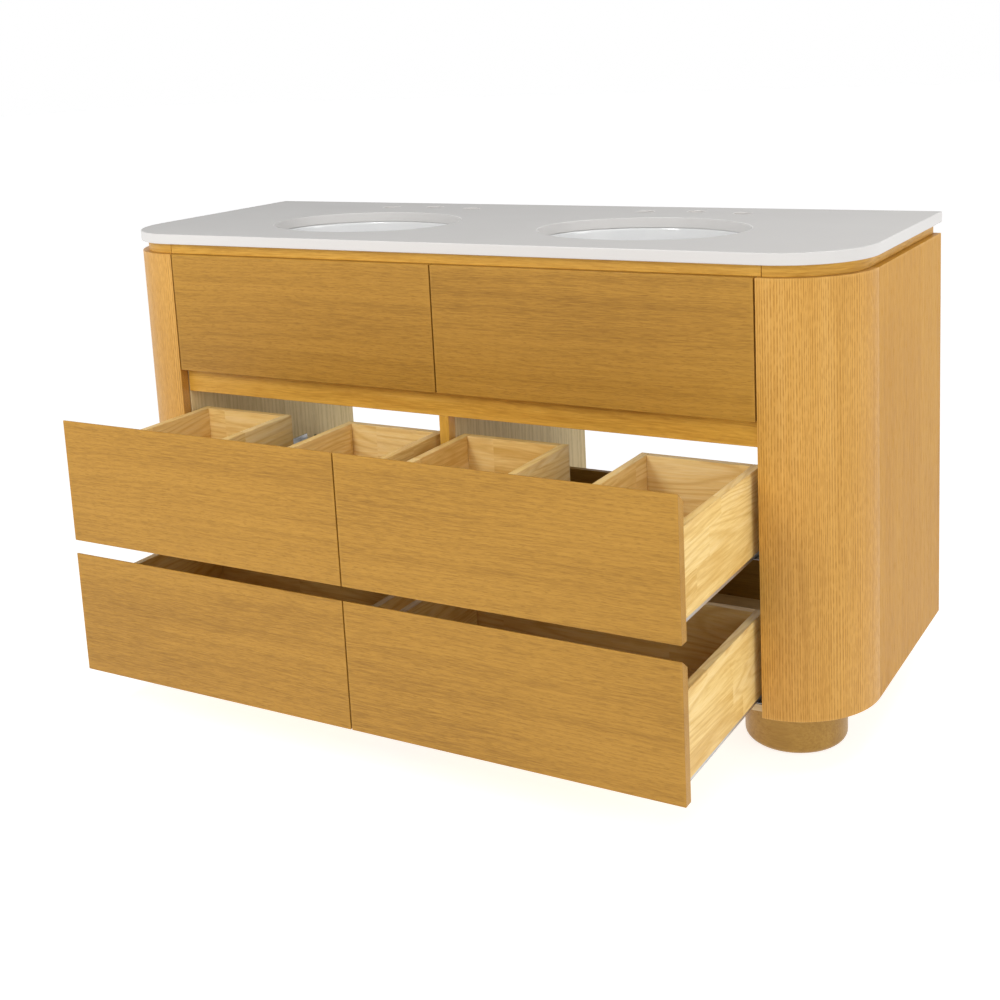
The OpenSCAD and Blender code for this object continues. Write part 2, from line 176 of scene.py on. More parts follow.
# What the words for a wood mean, in metres where they are lengths:
# pale, mid, dark: linear colours; ring: spacing of the growth rings; wave: how far the grain wanders;
# flow: share of flowing figure; line: how dark and how thin the ring lines are, and how far they are broken
# into dashes; pore: darkness of the pores; streak: strength and fineness of the streaks; rough: roughness;
# coat: weight of the clear coat; bump: height of the relief; gloss: strength of the plain reflection;
# edge: colour of worn edges, else the pale one; stave: length and height of the glued lengths
woods = {
    "front_oak": {
        "pale": (0.50, 0.262, 0.039), "mid": (0.43, 0.218, 0.028), "dark": (0.26, 0.122, 0.013),
        "ring": 0.0031, "wave": 0.014, "flow": 0.08, "line": (0.30, 2.0, 0.85), "pore": 0.42,
        "streak": (0.44, 1.8), "rough": 0.42, "coat": 0.0, "bump": 0.0002,
    },
    "side_oak": {
        "pale": (0.71, 0.405, 0.108), "mid": (0.64, 0.34, 0.070), "dark": (0.41, 0.190, 0.026),
        "ring": 0.0041, "wave": 0.003, "flow": 0.0, "line": (0.82, 1.4, 0.66), "pore": 0.26,
        "streak": (0.22, 1.3), "rough": 0.40, "coat": 0.0, "bump": 0.0004,
    },
    # a copy of side_oak for the flat side panels, darker and less blue: painted shade, set for how the side
    # light and the grazing reflection fall on them
    "side_oak_flat_shaded_copy": {
        "pale": (0.61, 0.325, 0.046), "mid": (0.54, 0.268, 0.028), "dark": (0.40, 0.18, 0.016),
        "ring": 0.0036, "wave": 0.004, "flow": 0.0, "line": (0.22, 2.0, 0.60), "pore": 0.20,
        "streak": (0.46, 1.2), "rough": 0.42, "coat": 0.0, "bump": 0.00012, "gloss": 0.12,
    },
    "solid_oak": {
        "pale": (0.78, 0.46, 0.095), "mid": (0.69, 0.38, 0.056), "dark": (0.47, 0.225, 0.025),
        "ring": 0.0060, "wave": 0.035, "flow": 0.35, "line": (0.30, 2.0, 0.5), "pore": 0.30,
        "streak": (0.40, 1.2), "rough": 0.40, "coat": 0.0, "bump": 0.0002,
    },
    "foot_oak": {
        "pale": (0.46, 0.27, 0.054), "mid": (0.37, 0.205, 0.034), "dark": (0.25, 0.125, 0.017),
        "ring": 0.009, "wave": 0.018, "flow": 0.12, "line": (0.22, 2.0, 0.5), "pore": 0.24,
        "streak": (0.34, 1.0), "rough": 0.36, "coat": 0.1, "bump": 0.0002,
    },
    "box_wood": {
        "pale": (0.93, 0.735, 0.38), "mid": (0.87, 0.63, 0.245), "dark": (0.64, 0.375, 0.085),
        "ring": 0.0095, "wave": 0.070, "flow": 0.60, "line": (0.50, 3.5, 0.15), "pore": 0.12,
        "streak": (0.34, 0.8), "rough": 0.42, "coat": 0.0, "bump": 0.00012,
        "edge": (0.60, 0.36, 0.13), "stave": (0.33, 0.047),
    },
    "box_ply": {
        "pale": (0.80, 0.56, 0.25), "mid": (0.70, 0.46, 0.185), "dark": (0.56, 0.33, 0.11),
        "ring": 0.012, "wave": 0.070, "flow": 0.6, "line": (0.35, 3.0, 0.2), "pore": 0.14,
        "streak": (0.34, 1.0), "rough": 0.48, "coat": 0.0, "bump": 0.0001,
    },
    "pale_liner": {
        "pale": (0.90, 0.75, 0.45), "mid": (0.82, 0.66, 0.35), "dark": (0.56, 0.42, 0.19),
        "ring": 0.0050, "wave": 0.003, "flow": 0.0, "line": (0.50, 1.5, 0.4), "pore": 0.22,
        "streak": (0.30, 1.2), "rough": 0.5, "coat": 0.0, "bump": 0.00008,
    },
    "pale_ply": {
        "pale": (0.72, 0.56, 0.33), "mid": (0.64, 0.48, 0.26), "dark": (0.50, 0.35, 0.17),
        "ring": 0.010, "wave": 0.05, "flow": 0.5, "line": (0.30, 3.0, 0.2), "pore": 0.16,
        "streak": (0.34, 1.0), "rough": 0.52, "coat": 0.0, "bump": 0.0001,
    },
    "dark_back": {
        "pale": (0.36, 0.215, 0.050), "mid": (0.28, 0.162, 0.033), "dark": (0.17, 0.094, 0.017),
        "ring": 0.009, "wave": 0.05, "flow": 0.4, "line": (0.30, 2.0, 0.4), "pore": 0.25,
        "streak": (0.40, 1.0), "rough": 0.5, "coat": 0.0, "bump": 0.0001,
    },
}


woodCells = {
    # cells of each pattern to the metre along, across and into the grain
    "wander": (1.4, 6.0, 6.0), "sway": (6.0, 18.0, 18.0), "spacing": (0.4, 26.0, 26.0),
    "flowing": (1.1, 8.0, 8.0), "pores": (40.0, 480.0, 480.0), "fibre": (11.0, 1100.0, 1100.0),
    "narrow": (18.0, 330.0, 330.0), "broad": (1.0, 50.0, 50.0), "blotch": (2.0, 5.0, 5.0),
    "scuffs": (30.0, 30.0, 30.0),
}
dashesPerMetre = 72.0  # along a ring line
staveShift = 3.0  # how many lengths a row of staves may start before the next row
staveJump = (9.0, 3.0, 3.0)  # how far along, across and into the wood a stave may lie from its neighbours


def cutIntoStaves(at, length, height):
    # rows of glued lengths, each row started at its own place: every length has its own offset into the wood,
    # and its own tone from 0 to 1
    along, across = (at.node("SeparateXYZ", {}, {0: at}, output=axis) for axis in (0, 1))
    row = across / height
    row = row.maths("FLOOR", row)
    shift = row.node("TexWhiteNoise", {"noise_dimensions": "1D"}, {"W": row})
    column = along / length + shift * staveShift
    column = column.maths("FLOOR", column)
    cell = row.node("CombineXYZ", {}, {0: column, 1: row, 2: 0.0})
    jump = row.node("TexWhiteNoise", {"noise_dimensions": "3D"}, {"Vector": cell}, output=1)
    tone = row.node("TexWhiteNoise", {"noise_dimensions": "3D"}, {"Vector": cell})
    return moved(at, stretched(jump, *staveJump)), tone


def woodFinish(name, look):
    # growth rings are a sine of the place across the grain, bent by slow noise, and fade into dashes; tone
    # comes from narrow and broad streaks and slow blotches, and pores are short thin dashes
    start, close = newFinish(name)
    at = start.node("Attribute", {"attribute_name": "grainAt"}, output=1)
    wornAndLit = start.node("Attribute", {"attribute_name": "edgeWear"}, output=2)
    own = 0.5
    if "stave" in look:
        at, own = cutIntoStaves(at, *look["stave"])
    lineDepth, thinness, dashed = look["line"]
    strength, fineness = look["streak"]

    def pattern(place, kind, detail, finer=1.0, rough=0.5):
        return cloud(stretched(place, *(cells * finer for cells in woodCells[kind])), detail, rough)

    drift = (pattern(at, "wander", 1.0) - 0.5) * look["wave"]
    drift = drift + (pattern(at, "sway", 1.0) - 0.5) * (look["wave"] * 0.2)
    bent = moved(at, at.node("CombineXYZ", {}, {0: 0.0, 1: drift, 2: drift}))
    across, inward = (bent.node("SeparateXYZ", {}, {0: bent}, output=axis) for axis in (1, 2))
    straight = (across + inward * 0.35) / look["ring"] + pattern(bent, "spacing", 1.0) * 4.0
    flowing = pattern(bent, "flowing", 0.0) * 30.0
    phase = straight * (1.0 - look["flow"]) + flowing * look["flow"]
    ring = phase.maths("SINE", phase * (2.0 * math.pi)) * 0.5 + 0.5
    dashes = cloud(stretched(bent, dashesPerMetre, 1.0 / look["ring"], 1.0 / look["ring"]), 1.0)
    lines = ring ** thinness * (1.0 - (1.0 - ease(dashes, 0.36, 0.60)) * dashed)
    pores = ease(pattern(bent, "pores", 1.0, fineness), 0.55, 0.68)
    fibre = pattern(bent, "fibre", 1.0)

    narrow = (pattern(bent, "narrow", 2.0, fineness) - 0.5) * strength
    broad = (pattern(bent, "broad", 2.0, 1.0, 0.6) - 0.5) * 0.30
    blotch = (pattern(at, "blotch", 1.0) - 0.5) * 0.24
    level = narrow + broad + blotch + (own * 0.18 + 0.41)
    stops = [(0.30, look["dark"]), (0.5, look["mid"]), (0.70, look["pale"])]
    base = level.node("ValToRGB", {"stops": stops}, {0: level})
    lined = tint(lines * lineDepth, base, look["dark"])
    toned = tint(pores * look["pore"], lined, look["dark"])
    stops = [(0.3, (0.93, 0.91, 0.88)), (0.7, (1.0, 1.0, 1.0))]
    fine = tint(1.0, toned, fibre.node("ValToRGB", {"stops": stops}, {0: fibre}), "MULTIPLY")
    scuffs = wornAndLit * ease(pattern(at, "scuffs", 1.0), 0.30, 0.65) * 0.35
    colour = tint(scuffs, fine, look.get("edge", look["pale"]))
    roughness = pores * 0.14 + fibre * 0.08 + (look["rough"] - 0.04) - scuffs * 0.2
    height = fibre * 0.25 - pores * 0.8 - lines * 0.3
    gloss = look.get("gloss", 0.28)
    plain = {"Coat Weight": look["coat"], "Coat Roughness": 0.25, "Specular IOR Level": gloss}
    return close(colour, roughness, height, (0.6, look["bump"]), plain)


stone = {
    # edge: painted light, the paler colour of the eased edges and the cut-out walls, as if lit more than the
    # top
    "base": (0.42, 0.402, 0.382), "pale": (0.48, 0.464, 0.447), "edge": (0.65, 0.633, 0.615),
    "speck": (0.46, 0.44, 0.42), "rough": 0.34,
    "grains": 620.0,  # crushed grains to the metre
}


def stoneFinish(look):
    # fine engineered stone: crushed grains, slow clouds and a few specks, with painted light on the eased
    # edges and the cut-out walls, which are paler as if lit more than the top
    start, close = newFinish("quartz_top")
    at = start.node("Attribute", {"attribute_name": "grainAt"}, output=1)
    wornAndLit = start.node("Attribute", {"attribute_name": "edgeWear"}, output=2)
    grains = at.node("TexVoronoi", {}, {"Vector": at, "Scale": look["grains"]}, output=1)
    grit = grains.node("SeparateXYZ", {}, {0: grains})
    clouds = cloud(stretched(at, 9.0, 9.0, 9.0), 3.0)
    flecks = ease(cloud(stretched(at, 260.0, 260.0, 260.0), 1.0), 0.70, 0.78)
    body = tint(grit * 0.55 + clouds * 0.45, look["base"], look["pale"])
    speckled = tint(flecks * 0.5, body, look["speck"])
    # painted light: the edge weight turns the edges and the walls of the cut-outs paler than the top
    colour = tint(wornAndLit * 0.85, speckled, look["edge"])
    return close(colour, clouds * 0.08 + grit * 0.05 + (look["rough"] - 0.06), grit + clouds, (0.25, 0.00005))


glaze = {
    "body": (0.74, 0.74, 0.735), "pooled": (0.68, 0.685, 0.685), "pinhole": (0.62, 0.61, 0.58), "rough": 0.05,
}


def glazeFinish(look):
    # white glaze: slightly greyer where it pooled, a faint orange peel and a few pinholes
    start, close = newFinish("sink_glaze")
    at = start.node("TexCoord", {}, output=3)
    pooled = cloud(stretched(at, 6.0, 6.0, 9.0), 3.0)
    peel = cloud(stretched(at, 90.0, 90.0, 90.0), 2.0)
    pinholes = ease(cloud(stretched(at, 420.0, 420.0, 420.0), 0.0), 0.83, 0.88)
    colour = tint(ease(pooled, 0.35, 0.75), look["body"], look["pooled"])
    spotted = tint(pinholes * 0.4, colour, look["pinhole"])
    roughness = pooled * 0.05 + look["rough"] + pinholes * 0.2
    coat = {"Coat Weight": 0.6, "Coat Roughness": 0.03}
    return close(spotted, roughness, peel - pinholes, (0.12, 0.0002), coat)


zinc = {
    "pale": (0.64, 0.635, 0.625), "dull": (0.42, 0.415, 0.41), "rough": 0.30,
    "crystals": 160.0,  # to the metre
}


def zincFinish(look):
    # zinc plate: crystals of slightly different grey, rolled streaks and dull handling marks
    start, close = newFinish("zinc_steel")
    at = start.node("TexCoord", {}, output=3)
    crystals = at.node("TexVoronoi", {}, {"Vector": at, "Scale": look["crystals"]}, output=1)
    spangle = crystals.node("SeparateXYZ", {}, {0: crystals})
    rolled = cloud(stretched(at, 700.0, 8.0, 700.0), 2.0)
    smears = ease(cloud(stretched(at, 18.0, 9.0, 18.0), 3.0), 0.42, 0.68)
    colour = tint(spangle * 0.35 + rolled * 0.3 + smears * 0.35, look["pale"], look["dull"])
    roughness = look["rough"] + smears * 0.18 + spangle * 0.06
    return close(colour, roughness, rolled + spangle * 0.3, (0.3, 0.00008), {"Metallic": 1.0})


plastic = {"body": (0.022, 0.022, 0.024), "rubbed": (0.075, 0.075, 0.08), "rough": 0.46}


def plasticFinish(look):
    # moulded black plastic with a spark-eroded grain, rubbed paler in places
    start, close = newFinish("black_plastic")
    at = start.node("TexCoord", {}, output=3)
    pits = cloud(stretched(at, 1300.0, 1300.0, 1300.0), 1.0)
    rubbed = ease(cloud(stretched(at, 60.0, 60.0, 60.0), 3.0), 0.5, 0.75)
    colour = tint(rubbed, look["body"], look["rubbed"])
    return close(colour, pits * 0.15 + rubbed * 0.1 + look["rough"], pits, (0.5, 0.0001))


finishes = {name: woodFinish(name, look) for name, look in woods.items()}
finishes["quartz_top"] = stoneFinish(stone)
finishes["sink_glaze"] = glazeFinish(glaze)
finishes["zinc_steel"] = zincFinish(zinc)
finishes["black_plastic"] = plasticFinish(plastic)
print("finishes made:", len(finishes))


sharpAngle = math.radians(40)  # edges that bend more than this stay sharp on a turned piece


def rectangle(low, high):
    # the four corners between a lowest and a highest one, anticlockwise
    return [(low[0], low[1]), (high[0], low[1]), (high[0], high[1]), (low[0], high[1])]


def roundedOutline(corners, radii, steps):
    # a closed outline, anticlockwise, whose corners are arcs: an arc's centre lies one radius from both
    # edges, and its outward normal turns evenly from one edge's normal to the next. The mitre is how far a
    # sharp corner moves when both its edges move by one, and the limit is the inset that uses an arc up
    corners = np.asarray(corners, float)
    radii = np.broadcast_to(np.asarray(radii, float), len(corners))[:, None]
    before = corners - np.roll(corners, 1, axis=0)
    after = np.roll(corners, -1, axis=0) - corners
    before /= np.linalg.norm(before, axis=1, keepdims=True)
    after /= np.linalg.norm(after, axis=1, keepdims=True)
    cross = before[:, 0] * after[:, 1] - before[:, 1] * after[:, 0]
    bend = np.arctan2(cross, (before * after).sum(1))[:, None]
    side = np.sign(bend)
    first = np.arctan2(-before[:, 0], before[:, 1])[:, None]
    angle = first + bend * np.linspace(0.0, 1.0, steps + 1)[None, :]
    normals = np.stack([np.cos(angle), np.sin(angle)], axis=2)
    start = corners - before * radii * np.tan(abs(bend) / 2)
    centre = start - normals[:, 0] * side * radii
    points = centre[:, None] + normals * (side * radii)[:, None]
    mitre = normals[:, 0] + normals[:, -1]
    mitre = mitre / (1 + (normals[:, 0] * normals[:, -1]).sum(1))[:, None]
    limit = np.where(side > 0, radii, np.inf)
    shape = (len(corners), steps + 1)
    return {
        "points": points.reshape(-1, 2),
        "normals": normals.reshape(-1, 2),
        "limit": np.broadcast_to(limit, shape).reshape(-1),
        "mitre": np.broadcast_to(mitre[:, None], (*shape, 2)).reshape(-1, 2),
    }


def holeOutline(centre, halfWidth, halfDepth, count):
    # an oval hole, clockwise: a point is the centre plus half the width times the cosine and half the depth
    # times the sine of its angle, and the normals point into the hole
    angle = -np.linspace(0.0, 2 * math.pi, count, endpoint=False)
    points = np.stack([halfWidth * np.cos(angle), halfDepth * np.sin(angle)], axis=1)
    normals = -np.stack([np.cos(angle) / halfWidth, np.sin(angle) / halfDepth], axis=1)
    normals /= np.linalg.norm(normals, axis=1, keepdims=True)
    return {
        "points": points + np.asarray(centre, float),
        "normals": normals,
        "limit": np.full(count, np.inf),
        "mitre": normals,
    }


def inset(outline, by):
    # the outline moved inwards; a round corner shrinks to a point and then follows its mitre
    by = np.asarray(by, float)[:, None, None]
    limit = outline["limit"][None, :, None]
    beyond = np.where(by > limit, by - np.where(np.isinf(limit), 0.0, limit), 0.0)
    return outline["points"] - np.minimum(by, limit) * outline["normals"] - beyond * outline["mitre"]


def insideOutline(spots, outline):
    # true where a horizontal ray from the spot crosses the outline an odd number of times
    following = np.roll(outline, -1, axis=0)
    x, y = spots[:, 0, None], spots[:, 1, None]
    run, rise = (following - outline).T
    spans = (outline[:, 1] > y) != (following[:, 1] > y)
    with np.errstate(divide="ignore", invalid="ignore"):
        crossing = outline[:, 0] + (y - outline[:, 1]) * run / rise
    return (spans & (x < crossing)).sum(1) % 2 == 1


def flatCap(loops):
    # triangles over the outer loop with the other loops left open, as numbers of the loops' points
    spots = np.concatenate(loops)
    counts = [len(loop) for loop in loops]
    starts = np.cumsum([0] + counts[:-1])
    edges = [(int(s + i), int(s + (i + 1) % n)) for s, n in zip(starts, counts) for i in range(n)]
    merged, tiny = 1e-7, 1e-12  # spots nearer than this are one, and smaller triangles are left out
    found = delaunay_2d_cdt([Vector(spot) for spot in spots], edges, [], 0, merged)
    verts = np.array([tuple(v) for v in found[0]])
    triangles = np.array(found[2])
    middle = verts[triangles].mean(axis=1)
    keep = insideOutline(middle, loops[0])
    for hole in loops[1:]:
        keep &= ~insideOutline(middle, hole)
    source = np.array([origin[0] for origin in found[3]])
    a, b, c = verts[triangles].transpose(1, 0, 2)
    area = (b[:, 0] - a[:, 0]) * (c[:, 1] - a[:, 1]) - (b[:, 1] - a[:, 1]) * (c[:, 0] - a[:, 0])
    triangles = np.where((area > 0)[:, None], triangles, triangles[:, ::-1])
    return source[triangles[keep & (abs(area) > tiny)]]


def edgeProfile(low, high, easing, border, wall):
    # a prism's rings from bottom to top: flat border, quarter round, wall, quarter round, flat border. A ring
    # has an inset, a height, a lean (its normal's share along the axis) and a weight for edge wear, which is
    # painted light on the stone. On a quarter round the inset is easing times one minus the cosine of the
    # turn, and the drop is easing times one minus its sine
    arcPoints, fadeDepth = 4, 5 * mm
    turns = np.linspace(0.0, math.pi / 2, arcPoints)
    soft = min(fadeDepth, 0.45 * (high - low - 2 * easing))
    quarterIn = easing * (1 - np.cos(turns))
    quarterUp = easing * (1 - np.sin(turns))
    insets = np.concatenate([[easing + border], quarterIn[::-1], [0, 0], quarterIn, [easing + border]])
    rises = np.concatenate([[0], quarterUp[::-1], [easing + soft]])
    rises = np.concatenate([low + rises, (high - rises)[::-1]])
    lean = np.concatenate([[-1], -np.sin(turns[::-1]), [0, 0], np.sin(turns), [1]])
    edge = np.ones(arcPoints)
    ringWornAndLit = np.concatenate([[0], edge, [wall, wall], edge, [0]])
    return insets, rises, lean, ringWornAndLit


def prism(outlines, low, high, easing, axis, follow=None, border=5 * mm, wall=0.0):
    # a closed solid: outlines carried from low to high along an axis, with quarter-round edges of radius
    # easing. The section's two coordinates are the next two axes in turn, so that faces point outwards.
    # The weight for edge wear, which is painted light on the stone, fades over a border beside each edge, and
    # down the walls to the share given
    insets, rises, lean, ringWornAndLit = edgeProfile(low, high, easing, border, wall)
    order = {"z": [0, 1, 2], "x": [2, 0, 1], "y": [1, 2, 0]}[axis]
    rings = len(insets)
    spots, facing, wornAndLit, run, faces, caps, offset = [], [], [], [], [], [], 0
    for outline in outlines:
        count = len(outline["points"])
        flat = inset(outline, insets)
        tall = np.broadcast_to(rises[:, None, None], (rings, count, 1))
        spots.append(np.concatenate([flat, tall], axis=2).reshape(-1, 3))
        out = np.sqrt(1 - lean ** 2)[:, None, None] * outline["normals"][None]
        up = np.broadcast_to(lean[:, None, None], (rings, count, 1))
        facing.append(np.concatenate([out, up], axis=2).reshape(-1, 3))
        wornAndLit.append(np.repeat(ringWornAndLit, count))
        steps = np.linalg.norm(np.diff(outline["points"], axis=0), axis=1)
        run.append(np.tile(np.concatenate([[0], np.cumsum(steps)]), rings))
        ring, point = np.meshgrid(np.arange(rings - 1), np.arange(count), indexing="ij")
        here = ring * count + point
        beside = ring * count + (point + 1) % count
        quads = np.stack([here, beside, beside + count, here + count], axis=2).reshape(-1, 4)
        faces += (quads + offset).tolist()
        caps.append((offset, offset + (rings - 1) * count, count, flat[0]))
        offset += rings * count
    numbers = flatCap([loop for _, _, _, loop in caps])
    bottoms = np.concatenate([np.arange(first, first + count) for first, _, count, _ in caps])
    tops = np.concatenate([np.arange(first, first + count) for _, first, count, _ in caps])
    faces += bottoms[numbers][:, ::-1].tolist() + tops[numbers].tolist()
    spots = np.concatenate(spots)
    grain = spots[:, order]
    if follow == "upright":  # grain along the axis, counted round the outline
        grain = np.stack([spots[:, 2], np.concatenate(run), np.zeros(len(spots))], axis=1)
    if follow == "round":  # grain along the outline
        grain = np.stack([np.concatenate(run), spots[:, 2], np.zeros(len(spots))], axis=1)
    return {
        "spots": spots[:, order], "facing": np.concatenate(facing)[:, order], "faces": faces,
        "grain": grain, "wornAndLit": np.concatenate(wornAndLit),
    }


def turned(section, centre, count):
    # a closed section carried round an upright axis: a spot is the centre plus its reach times the cosine and
    # the sine of the turn, and its height
    angle = np.linspace(0.0, 2 * math.pi, count, endpoint=False)
    reach, height = section.T
    x = centre[0] + np.outer(np.cos(angle), reach)
    y = centre[1] + np.outer(np.sin(angle), reach)
    z = centre[2] + np.broadcast_to(height, x.shape)
    spots = np.stack([x, y, z], axis=2).reshape(-1, 3)
    turn, step = np.meshgrid(np.arange(count), np.arange(len(section)), indexing="ij")
    onTurn = (turn + 1) % count
    onStep = (step + 1) % len(section)
    quads = np.stack([turn * len(section) + step, onTurn * len(section) + step,
                      onTurn * len(section) + onStep, turn * len(section) + onStep], axis=2)
    return {"spots": spots, "facing": None, "faces": quads.reshape(-1, 4).tolist(),
            "grain": spots, "wornAndLit": np.zeros(len(spots))}


def turnGrain(surface, direction):
    # lays the grain along x, y or z
    first = "xyz".index(direction)
    surface["grain"] = surface["grain"][:, [first, (first + 1) % 3, (first + 2) % 3]]
    return surface


def standIn(node, surfaces, finish=None):
    # one finished piece from one or more surfaces, in place of the CAD node and on its body; each surface
    # gets a stretch of wood of its own
    spots, facing, faces, grain, wornAndLit, offset = [], [], [], [], [], 0
    for surface in surfaces:
        spots.append(surface["spots"])
        facing.append(surface["facing"] if surface["facing"] is not None else np.zeros_like(surface["spots"]))
        grain.append(surface["grain"] + chance.uniform(-4.0, 4.0, 3))
        wornAndLit.append(surface["wornAndLit"])
        faces += [[i + offset for i in face] for face in surface["faces"]]
        offset += len(surface["spots"])
    mesh = bpy.data.meshes.new(node.replace("_", "-"))
    mesh.from_pydata(np.concatenate(spots).tolist(), [], faces)
    for name, values in (("grainAt", grain), ("facing", facing)):
        made = mesh.attributes.new(name, "FLOAT_VECTOR", "POINT")
        made.data.foreach_set("vector", np.concatenate(values).ravel())
    # the edge weight is wear on wood and painted light on the stone
    mesh.attributes.new("edgeWear", "FLOAT", "POINT").data.foreach_set("value", np.concatenate(wornAndLit))
    joinDoubles(mesh)
    mesh.shade_smooth()
    if surfaces[0]["facing"] is None:
        mesh.set_sharp_from_angle(angle=sharpAngle)
    else:
        normals = np.zeros(len(mesh.vertices) * 3)
        mesh.attributes["facing"].data.foreach_get("vector", normals)
        mesh.normals_split_custom_set_from_vertices(normals.reshape(-1, 3).tolist())
    mesh.attributes.remove(mesh.attributes["facing"])
    mesh.materials.append(finishes[finish or slotOf[node]])
    piece = bpy.data.objects.new(mesh.name, mesh)
    bpy.context.scene.collection.objects.link(piece)
    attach(piece, frame["nodes"][node]["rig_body"])
    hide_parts(node)
    return piece


def joinDoubles(mesh):
    # spots nearer than a thousandth of a millimetre become one
    work = bmesh.new()
    work.from_mesh(mesh)
    bmesh.ops.remove_doubles(work, verts=work.verts, dist=1e-6)
    work.to_mesh(mesh)
    work.free()


def solidBoxes(node):
    # the corners of each separate solid of a CAD node: the lowest point number spreads over the triangles
    # that touch, until nothing changes
    mesh = frame["nodes"][node].data
    spots = np.zeros(len(mesh.vertices) * 3)
    mesh.vertices.foreach_get("co", spots)
    corners = np.zeros(len(mesh.loops), int)
    mesh.loops.foreach_get("vertex_index", corners)
    spots, same = np.unique(spots.reshape(-1, 3).round(6), axis=0, return_inverse=True)
    triangles = same.ravel()[corners].reshape(-1, 3)
    label = np.arange(len(spots))
    settled = False
    while not settled:
        fresh = label.copy()
        np.minimum.at(fresh, triangles, label[triangles].min(axis=1)[:, None])
        settled = bool((fresh == label).all())
        label = fresh
    return [(spots[label == one].min(axis=0), spots[label == one].max(axis=0)) for one in np.unique(label)]


def board(low, high, easing, grain):
    # a board between two corners, laid so that its thickness is the prism's axis
    thin = int(np.argmin(high - low))
    flat = [(thin + 1) % 3, (thin + 2) % 3]
    outline = roundedOutline(rectangle(low[flat], high[flat]), easing, 3)
    made = prism([outline], low[thin], high[thin], easing, "xyz"[thin])
    return turnGrain(made, grain)


slab = {
    "easing": 1.6 * mm, "backCorner": 2.0 * mm, "frontRadius": 150 * mm, "arcSteps": 28,
    "border": 0.6 * mm,  # how far the painted light on the edges reaches past the eased edges
    "paintedLightOnWalls": 1.0,  # its share on the walls of the edge and of the cut-outs: painted light, paler as if lit more than the top
}
basins = {
    "width": 400 * mm, "depth": 306 * mm, "fromFront": 245 * mm, "apart": 606 * mm,
    "faucetRadius": 17.5 * mm, "faucetPitch": 101.6 * mm, "faucetBack": 80 * mm, "spoutBack": 16 * mm,
    "bowlDepth": 150 * mm, "floorHalf": 34 * mm, "drainRadius": 22.5 * mm, "drainWall": 12 * mm,
    "rim": 18 * mm, "rimEdge": 1.2 * mm, "wall": 10 * mm, "lip": 3.0 * mm, "drainLip": 2.5 * mm,
    "overflowRadius": 6 * mm, "overflowDrop": 38 * mm,
    "fullness": (0.55, 1.15),  # powers of the cosine and the sine: smaller ones make a fuller bowl
    "cutSteps": 144, "faucetSteps": 48, "turnSteps": 160, "sweepSteps": 34, "overflowSteps": 40,
}


def makeCountertop():
    low, high = (np.array(corner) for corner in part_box("countertop"))
    radii = [slab["frontRadius"], slab["frontRadius"], slab["backCorner"], slab["backCorner"]]
    outlines = [roundedOutline(rectangle(low, high), radii, slab["arcSteps"])]
    front, rear = low[1] + basins["fromFront"], high[1] - basins["faucetBack"]
    halfWidth, halfDepth, radius = basins["width"] / 2, basins["depth"] / 2, basins["faucetRadius"]
    for side in (-1, 1):
        middle = side * basins["apart"] / 2
        outlines.append(holeOutline((middle, front), halfWidth, halfDepth, basins["cutSteps"]))
        for step in (-1, 0, 1):
            behind = basins["spoutBack"] if step == 0 else 0.0
            spot = (middle + step * basins["faucetPitch"], rear + behind)
            outlines.append(holeOutline(spot, radius, radius, basins["faucetSteps"]))
    # the edges and the cut-out walls get the stone's painted light in full
    top = prism(outlines, low[2], high[2], slab["easing"], "z", None, slab["border"], slab["paintedLightOnWalls"])
    standIn("countertop", [top])


def bowlSection():
    # half of a basin, cut down its middle, as a closed anticlockwise line of reaches and heights. Inside it
    # is a super-ellipse: the floor's reach plus the rest times a power of the cosine, and minus the depth
    # times a power of the sine. The outside is the same curve one wall larger, and a flat rim, a small round
    # under the stone and the drain's edge join the two
    half, floorHalf, deep = basins["depth"] / 2, basins["floorHalf"], basins["bowlDepth"]
    sweep = np.radians(np.linspace(2.0, 90.0, basins["sweepSteps"]))
    outPower, downPower = basins["fullness"]
    out, down = np.cos(sweep) ** outPower, np.sin(sweep) ** downPower
    inside = np.stack([floorHalf + (half - floorHalf) * out, -deep * down], axis=1)
    outHalf, outFloor, outDeep = half + basins["wall"], floorHalf + 6 * mm, deep + basins["drainWall"]
    outside = np.stack([outFloor + (outHalf - outFloor) * out, -outDeep * down], axis=1)
    outside = outside[outside[:, 1] < -basins["wall"] - 2 * mm][::-1]
    drain, drainLip = basins["drainRadius"], basins["drainLip"]
    turn = np.radians(np.linspace(0.0, 90.0, 5))[:, None]
    drainReach = (drain + drainLip) - drainLip * np.sin(turn)
    drainEdge = np.concatenate([drainReach, -deep - drainLip * (1 - np.cos(turn))], axis=1)
    rimReach, below, edge = half + basins["rim"], -basins["wall"], basins["rimEdge"]
    rim = np.array([
        (outside[-1, 0] + 3 * mm, below), (rimReach - edge, below), (rimReach, below + edge),
        (rimReach, -edge), (rimReach - edge, 0.0),
    ])
    lip, lipTurn = basins["lip"], turn[:4]  # the round under the stone, which shows as a dark seam line
    seam = np.concatenate([half + lip * (1 - np.sin(lipTurn)), -lip * (1 - np.cos(lipTurn))], axis=1)
    return np.concatenate([rim, seam, inside, drainEdge, [(drain, -outDeep)], outside])


